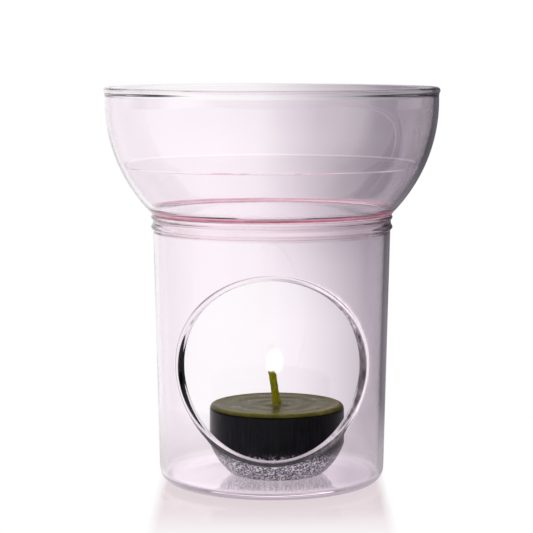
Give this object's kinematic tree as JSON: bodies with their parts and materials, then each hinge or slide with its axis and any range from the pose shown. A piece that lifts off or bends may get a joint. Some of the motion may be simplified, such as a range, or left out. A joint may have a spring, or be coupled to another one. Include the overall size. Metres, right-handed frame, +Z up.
{
  "type": "glass tealight burner",
  "caption": "Clear pink glass burner: a round bowl for scented oil or wax melts over a hollow body, with a tealight that goes in by a round opening.",
  "frame": {"origin": "on the table, under the middle of the base", "axes": "+Z up, -Y out of the round opening, +X to the right of someone who faces the opening"},
  "size_m": [0.0962, 0.0962, 0.114],
  "materials": {
    "body_glass": "clear, faintly pink",
    "lip_glass": "fire-polished",
    "weld_glass": "fused, pinker where it is thicker",
    "bowl_glass": "clear, faintly pink",
    "oil": "clear liquid",
    "cup_aluminium": "satin, drawn, with a bright crimped taper",
    "candle_wax": "satin, olive green",
    "sustainer_metal": "plated",
    "waxed_cotton": "braided, soaked in wax"
  },
  "bodies": {
    "glass": {"glass_floor": "body_glass", "glass_body": "body_glass", "opening_lip": "lip_glass", "weld_ring": "weld_glass", "glass_bowl": "bowl_glass", "oil_fill": "oil"},
    "tealight": {"tealight_cup": "cup_aluminium", "wax": "candle_wax", "wick_sustainer": "sustainer_metal", "wick": "waxed_cotton"}
  },
  "joints": [
    {"name": "tealight_out", "type": "slide", "parent": "glass", "child": "tealight", "axis": [0, -0.809, 0.5878], "range_m": [0, 0.07]}
  ]
}
